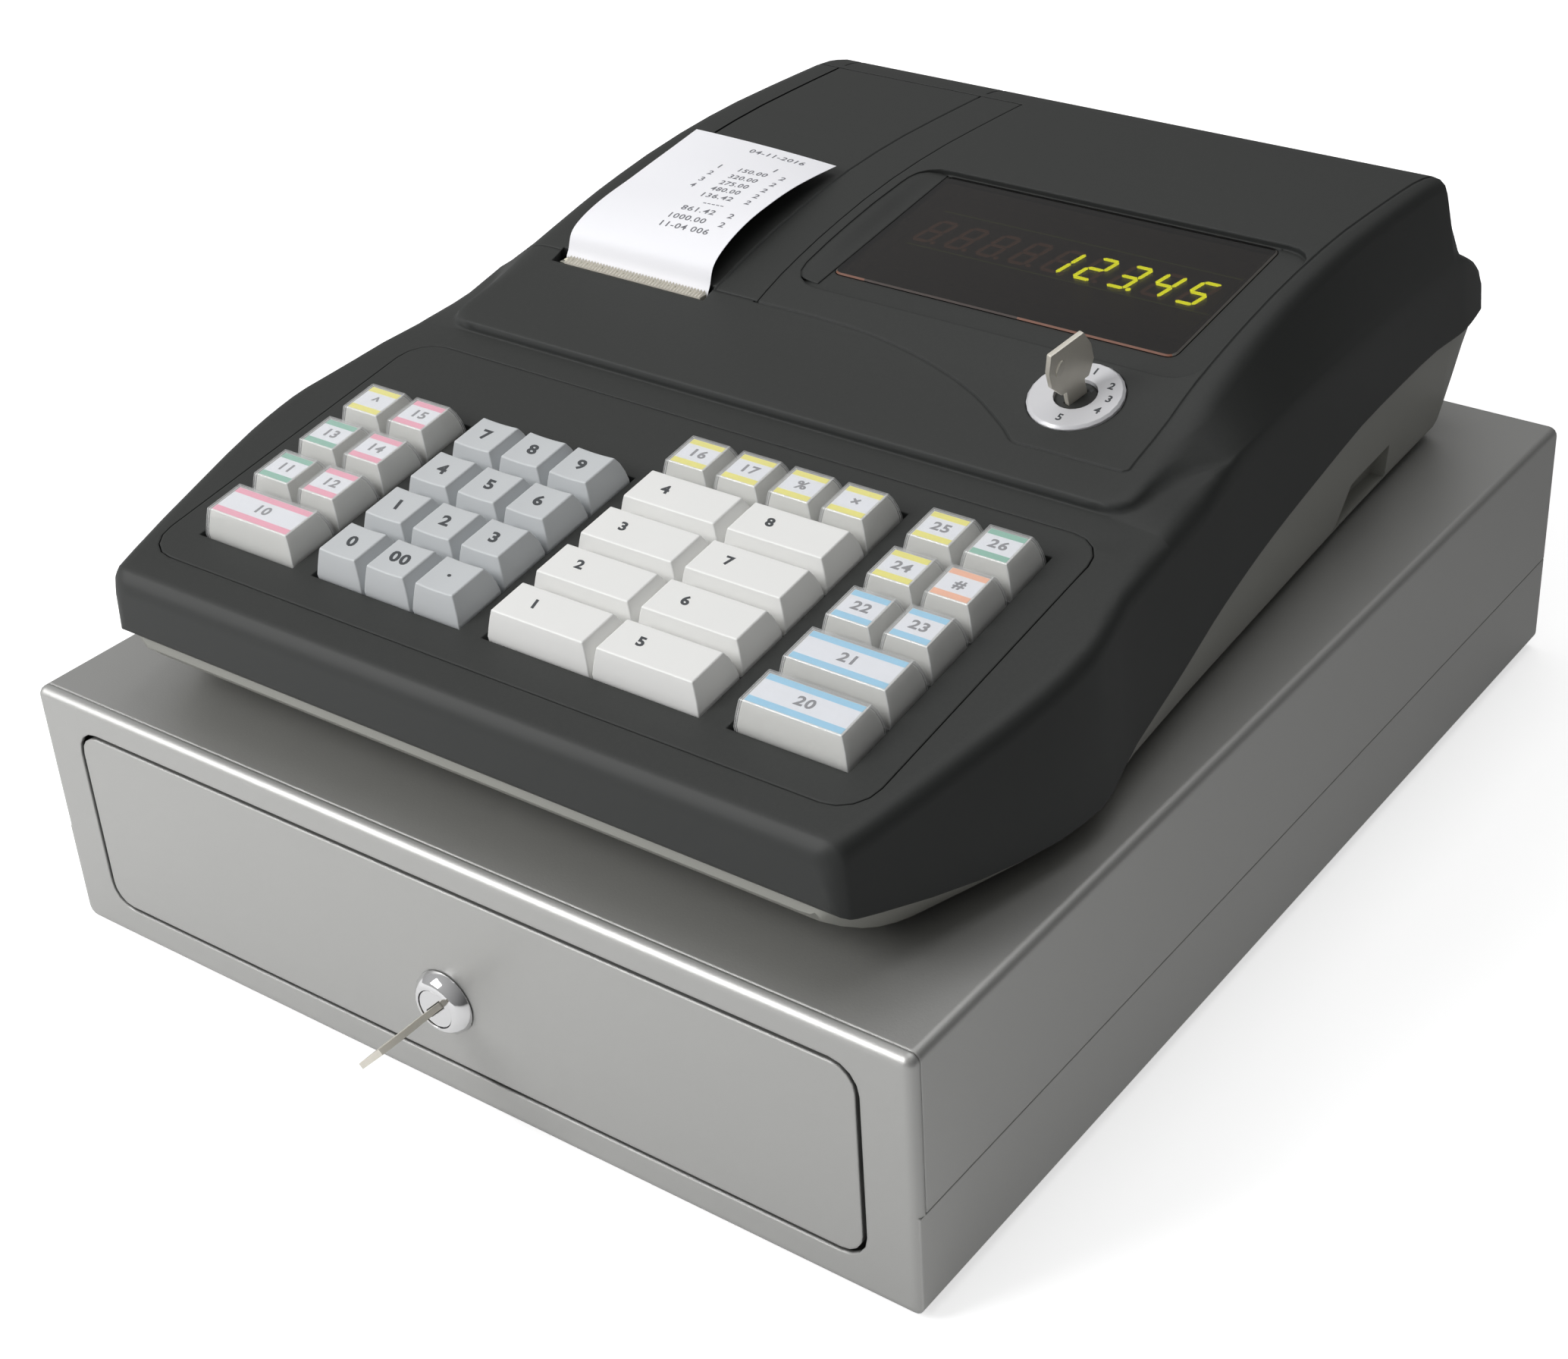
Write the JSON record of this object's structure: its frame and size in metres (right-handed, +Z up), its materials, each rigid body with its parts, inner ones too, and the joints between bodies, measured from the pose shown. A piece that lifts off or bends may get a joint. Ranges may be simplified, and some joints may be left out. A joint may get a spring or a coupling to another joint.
{
  "type": "ticket register",
  "caption": "Electronic till with keyboard, display window, control lock and a hinged receipt printer, on a steel cash drawer with coin cups and note bays.",
  "frame": {"origin": "centre of the footprint of the whole part with its drawer key, on the surface that the feet stand on", "axes": "+X to the right as the operator sees it, +Y from the drawer front to the back, +Z up"},
  "size_m": [0.32, 0.4244, 0.1872],
  "materials": {
    "painted_steel": "satin warm grey coating with a fine texture",
    "tray_plastic": "black moulded plastic",
    "grey_plastic": "fine textured grey moulding",
    "chrome": "polished plating",
    "key_steel": "nickel plated flat steel",
    "dark_plastic": "fine textured black moulding",
    "zinc_steel": "zinc plated sheet",
    "paper": "white thermal paper",
    "smoked_acrylic": "dark smoked clear sheet, polished",
    "silver_plastic": "silvery white moulding",
    "number_key_plastic": "light grey key caps",
    "pale_key_plastic": "off-white key caps under clear covers"
  },
  "bodies": {
    "cabinet": {"cabinet_pan": "painted_steel", "cabinet_cover": "painted_steel", "register_housing": "dark_plastic", "register_base": "grey_plastic", "keyboard_insert": "dark_plastic", "display_window": "smoked_acrylic", "control_lock_ring": "silver_plastic", "print_mechanism": "zinc_steel"},
    "drawer": {"drawer_box": "painted_steel", "cash_insert": "tray_plastic", "drawer_lock_bezel": "chrome"},
    "drawer_lock": {"drawer_lock_plug": "chrome", "drawer_key": "key_steel"},
    "cover": {"printer_cover": "dark_plastic", "receipt_paper": "paper"},
    "control_lock": {"control_lock_rotor": "dark_plastic", "control_key": "key_steel"},
    "clip_1": {"note_clip_1": "grey_plastic"},
    "clip_2": {"note_clip_2": "grey_plastic"},
    "clip_3": {"note_clip_3": "grey_plastic"},
    "roll": {"paper_roll": "paper"},
    "key_clear": {"key_clear": "pale_key_plastic"},
    "key_paid_out": {"key_paid_out": "pale_key_plastic"},
    "key_void": {"key_void": "pale_key_plastic"},
    "key_received": {"key_received": "pale_key_plastic"},
    "key_return": {"key_return": "pale_key_plastic"},
    "key_feed": {"key_feed": "pale_key_plastic"},
    "key_correct": {"key_correct": "pale_key_plastic"},
    "key_digit_0": {"key_digit_0": "number_key_plastic"},
    "key_digit_00": {"key_digit_00": "number_key_plastic"},
    "key_point": {"key_point": "number_key_plastic"},
    "key_digit_1": {"key_digit_1": "number_key_plastic"},
    "key_digit_2": {"key_digit_2": "number_key_plastic"},
    "key_digit_3": {"key_digit_3": "number_key_plastic"},
    "key_digit_4": {"key_digit_4": "number_key_plastic"},
    "key_digit_5": {"key_digit_5": "number_key_plastic"},
    "key_digit_6": {"key_digit_6": "number_key_plastic"},
    "key_digit_7": {"key_digit_7": "number_key_plastic"},
    "key_digit_8": {"key_digit_8": "number_key_plastic"},
    "key_digit_9": {"key_digit_9": "number_key_plastic"},
    "key_dept_1": {"key_dept_1": "pale_key_plastic"},
    "key_dept_5": {"key_dept_5": "pale_key_plastic"},
    "key_dept_2": {"key_dept_2": "pale_key_plastic"},
    "key_dept_6": {"key_dept_6": "pale_key_plastic"},
    "key_dept_3": {"key_dept_3": "pale_key_plastic"},
    "key_dept_7": {"key_dept_7": "pale_key_plastic"},
    "key_dept_4": {"key_dept_4": "pale_key_plastic"},
    "key_dept_8": {"key_dept_8": "pale_key_plastic"},
    "key_lookup": {"key_lookup": "pale_key_plastic"},
    "key_clerk": {"key_clerk": "pale_key_plastic"},
    "key_percent": {"key_percent": "pale_key_plastic"},
    "key_multiply": {"key_multiply": "pale_key_plastic"},
    "key_cash": {"key_cash": "pale_key_plastic"},
    "key_subtotal": {"key_subtotal": "pale_key_plastic"},
    "key_cheque": {"key_cheque": "pale_key_plastic"},
    "key_card": {"key_card": "pale_key_plastic"},
    "key_receipt_issue": {"key_receipt_issue": "pale_key_plastic"},
    "key_number": {"key_number": "pale_key_plastic"},
    "key_receipt_switch": {"key_receipt_switch": "pale_key_plastic"},
    "key_currency": {"key_currency": "pale_key_plastic"}
  },
  "joints": [
    {"name": "drawer_slide", "type": "slide", "parent": "cabinet", "child": "drawer", "axis": [0, -1, 0], "range_m": [0, 0.27]},
    {"name": "printer_cover_hinge", "type": "hinge", "parent": "cabinet", "child": "cover", "pos_m": [-0.076, 0.16225, 0.175], "axis": [-1, 0, 0], "range_deg": [0, 70]},
    {"name": "drawer_lock_turn", "type": "hinge", "parent": "drawer", "child": "drawer_lock", "pos_m": [0, -0.18275, 0.0375], "axis": [0, 1, 0], "range_deg": [0, 90]},
    {"name": "control_lock_turn", "type": "hinge", "parent": "cabinet", "child": "control_lock", "pos_m": [0.088, 0.01025, 0.16561], "axis": [0, -0.2919, 0.9565], "range_deg": [-129, 43]},
    {"name": "note_clip_1_lift", "type": "hinge", "parent": "drawer", "child": "clip_1", "pos_m": [-0.08947, 0.15185, 0.05], "axis": [-1, 0, 0], "range_deg": [0, 35], "stiffness_Nm_per_rad": 0.03, "springref_deg": -20.05},
    {"name": "note_clip_2_lift", "type": "hinge", "parent": "drawer", "child": "clip_2", "pos_m": [0, 0.15185, 0.05], "axis": [-1, 0, 0], "range_deg": [0, 35], "stiffness_Nm_per_rad": 0.03, "springref_deg": -20.05},
    {"name": "note_clip_3_lift", "type": "hinge", "parent": "drawer", "child": "clip_3", "pos_m": [0.08947, 0.15185, 0.05], "axis": [-1, 0, 0], "range_deg": [0, 35], "stiffness_Nm_per_rad": 0.03, "springref_deg": -20.05},
    {"name": "paper_roll_spin", "type": "hinge", "parent": "cabinet", "child": "roll", "pos_m": [-0.0807, 0.11725, 0.1408], "axis": [1, 0, 0], "continuous": true},
    {"name": "key_clear_press", "type": "slide", "parent": "cabinet", "child": "key_clear", "axis": [0, 0.158, -0.9874], "range_m": [0, 0.0035], "stiffness_N_per_m": 150, "springref_m": -0.002},
    {"name": "key_paid_out_press", "type": "slide", "parent": "cabinet", "child": "key_paid_out", "axis": [0, 0.158, -0.9874], "range_m": [0, 0.0035], "stiffness_N_per_m": 150, "springref_m": -0.002},
    {"name": "key_void_press", "type": "slide", "parent": "cabinet", "child": "key_void", "axis": [0, 0.158, -0.9874], "range_m": [0, 0.0035], "stiffness_N_per_m": 150, "springref_m": -0.002},
    {"name": "key_received_press", "type": "slide", "parent": "cabinet", "child": "key_received", "axis": [0, 0.158, -0.9874], "range_m": [0, 0.0035], "stiffness_N_per_m": 150, "springref_m": -0.002},
    {"name": "key_return_press", "type": "slide", "parent": "cabinet", "child": "key_return", "axis": [0, 0.158, -0.9874], "range_m": [0, 0.0035], "stiffness_N_per_m": 150, "springref_m": -0.002},
    {"name": "key_feed_press", "type": "slide", "parent": "cabinet", "child": "key_feed", "axis": [0, 0.158, -0.9874], "range_m": [0, 0.0035], "stiffness_N_per_m": 150, "springref_m": -0.002},
    {"name": "key_correct_press", "type": "slide", "parent": "cabinet", "child": "key_correct", "axis": [0, 0.158, -0.9874], "range_m": [0, 0.0035], "stiffness_N_per_m": 150, "springref_m": -0.002},
    {"name": "key_digit_0_press", "type": "slide", "parent": "cabinet", "child": "key_digit_0", "axis": [0, 0.158, -0.9874], "range_m": [0, 0.0035], "stiffness_N_per_m": 150, "springref_m": -0.002},
    {"name": "key_digit_00_press", "type": "slide", "parent": "cabinet", "child": "key_digit_00", "axis": [0, 0.158, -0.9874], "range_m": [0, 0.0035], "stiffness_N_per_m": 150, "springref_m": -0.002},
    {"name": "key_point_press", "type": "slide", "parent": "cabinet", "child": "key_point", "axis": [0, 0.158, -0.9874], "range_m": [0, 0.0035], "stiffness_N_per_m": 150, "springref_m": -0.002},
    {"name": "key_digit_1_press", "type": "slide", "parent": "cabinet", "child": "key_digit_1", "axis": [0, 0.158, -0.9874], "range_m": [0, 0.0035], "stiffness_N_per_m": 150, "springref_m": -0.002},
    {"name": "key_digit_2_press", "type": "slide", "parent": "cabinet", "child": "key_digit_2", "axis": [0, 0.158, -0.9874], "range_m": [0, 0.0035], "stiffness_N_per_m": 150, "springref_m": -0.002},
    {"name": "key_digit_3_press", "type": "slide", "parent": "cabinet", "child": "key_digit_3", "axis": [0, 0.158, -0.9874], "range_m": [0, 0.0035], "stiffness_N_per_m": 150, "springref_m": -0.002},
    {"name": "key_digit_4_press", "type": "slide", "parent": "cabinet", "child": "key_digit_4", "axis": [0, 0.158, -0.9874], "range_m": [0, 0.0035], "stiffness_N_per_m": 150, "springref_m": -0.002},
    {"name": "key_digit_5_press", "type": "slide", "parent": "cabinet", "child": "key_digit_5", "axis": [0, 0.158, -0.9874], "range_m": [0, 0.0035], "stiffness_N_per_m": 150, "springref_m": -0.002},
    {"name": "key_digit_6_press", "type": "slide", "parent": "cabinet", "child": "key_digit_6", "axis": [0, 0.158, -0.9874], "range_m": [0, 0.0035], "stiffness_N_per_m": 150, "springref_m": -0.002},
    {"name": "key_digit_7_press", "type": "slide", "parent": "cabinet", "child": "key_digit_7", "axis": [0, 0.158, -0.9874], "range_m": [0, 0.0035], "stiffness_N_per_m": 150, "springref_m": -0.002},
    {"name": "key_digit_8_press", "type": "slide", "parent": "cabinet", "child": "key_digit_8", "axis": [0, 0.158, -0.9874], "range_m": [0, 0.0035], "stiffness_N_per_m": 150, "springref_m": -0.002},
    {"name": "key_digit_9_press", "type": "slide", "parent": "cabinet", "child": "key_digit_9", "axis": [0, 0.158, -0.9874], "range_m": [0, 0.0035], "stiffness_N_per_m": 150, "springref_m": -0.002},
    {"name": "key_dept_1_press", "type": "slide", "parent": "cabinet", "child": "key_dept_1", "axis": [0, 0.158, -0.9874], "range_m": [0, 0.0035], "stiffness_N_per_m": 150, "springref_m": -0.002},
    {"name": "key_dept_5_press", "type": "slide", "parent": "cabinet", "child": "key_dept_5", "axis": [0, 0.158, -0.9874], "range_m": [0, 0.0035], "stiffness_N_per_m": 150, "springref_m": -0.002},
    {"name": "key_dept_2_press", "type": "slide", "parent": "cabinet", "child": "key_dept_2", "axis": [0, 0.158, -0.9874], "range_m": [0, 0.0035], "stiffness_N_per_m": 150, "springref_m": -0.002},
    {"name": "key_dept_6_press", "type": "slide", "parent": "cabinet", "child": "key_dept_6", "axis": [0, 0.158, -0.9874], "range_m": [0, 0.0035], "stiffness_N_per_m": 150, "springref_m": -0.002},
    {"name": "key_dept_3_press", "type": "slide", "parent": "cabinet", "child": "key_dept_3", "axis": [0, 0.158, -0.9874], "range_m": [0, 0.0035], "stiffness_N_per_m": 150, "springref_m": -0.002},
    {"name": "key_dept_7_press", "type": "slide", "parent": "cabinet", "child": "key_dept_7", "axis": [0, 0.158, -0.9874], "range_m": [0, 0.0035], "stiffness_N_per_m": 150, "springref_m": -0.002},
    {"name": "key_dept_4_press", "type": "slide", "parent": "cabinet", "child": "key_dept_4", "axis": [0, 0.158, -0.9874], "range_m": [0, 0.0035], "stiffness_N_per_m": 150, "springref_m": -0.002},
    {"name": "key_dept_8_press", "type": "slide", "parent": "cabinet", "child": "key_dept_8", "axis": [0, 0.158, -0.9874], "range_m": [0, 0.0035], "stiffness_N_per_m": 150, "springref_m": -0.002},
    {"name": "key_lookup_press", "type": "slide", "parent": "cabinet", "child": "key_lookup", "axis": [0, 0.158, -0.9874], "range_m": [0, 0.0035], "stiffness_N_per_m": 150, "springref_m": -0.002},
    {"name": "key_clerk_press", "type": "slide", "parent": "cabinet", "child": "key_clerk", "axis": [0, 0.158, -0.9874], "range_m": [0, 0.0035], "stiffness_N_per_m": 150, "springref_m": -0.002},
    {"name": "key_percent_press", "type": "slide", "parent": "cabinet", "child": "key_percent", "axis": [0, 0.158, -0.9874], "range_m": [0, 0.0035], "stiffness_N_per_m": 150, "springref_m": -0.002},
    {"name": "key_multiply_press", "type": "slide", "parent": "cabinet", "child": "key_multiply", "axis": [0, 0.158, -0.9874], "range_m": [0, 0.0035], "stiffness_N_per_m": 150, "springref_m": -0.002},
    {"name": "key_cash_press", "type": "slide", "parent": "cabinet", "child": "key_cash", "axis": [0, 0.158, -0.9874], "range_m": [0, 0.0035], "stiffness_N_per_m": 150, "springref_m": -0.002},
    {"name": "key_subtotal_press", "type": "slide", "parent": "cabinet", "child": "key_subtotal", "axis": [0, 0.158, -0.9874], "range_m": [0, 0.0035], "stiffness_N_per_m": 150, "springref_m": -0.002},
    {"name": "key_cheque_press", "type": "slide", "parent": "cabinet", "child": "key_cheque", "axis": [0, 0.158, -0.9874], "range_m": [0, 0.0035], "stiffness_N_per_m": 150, "springref_m": -0.002},
    {"name": "key_card_press", "type": "slide", "parent": "cabinet", "child": "key_card", "axis": [0, 0.158, -0.9874], "range_m": [0, 0.0035], "stiffness_N_per_m": 150, "springref_m": -0.002},
    {"name": "key_receipt_issue_press", "type": "slide", "parent": "cabinet", "child": "key_receipt_issue", "axis": [0, 0.158, -0.9874], "range_m": [0, 0.0035], "stiffness_N_per_m": 150, "springref_m": -0.002},
    {"name": "key_number_press", "type": "slide", "parent": "cabinet", "child": "key_number", "axis": [0, 0.158, -0.9874], "range_m": [0, 0.0035], "stiffness_N_per_m": 150, "springref_m": -0.002},
    {"name": "key_receipt_switch_press", "type": "slide", "parent": "cabinet", "child": "key_receipt_switch", "axis": [0, 0.158, -0.9874], "range_m": [0, 0.0035], "stiffness_N_per_m": 150, "springref_m": -0.002},
    {"name": "key_currency_press", "type": "slide", "parent": "cabinet", "child": "key_currency", "axis": [0, 0.158, -0.9874], "range_m": [0, 0.0035], "stiffness_N_per_m": 150, "springref_m": -0.002}
  ]
}
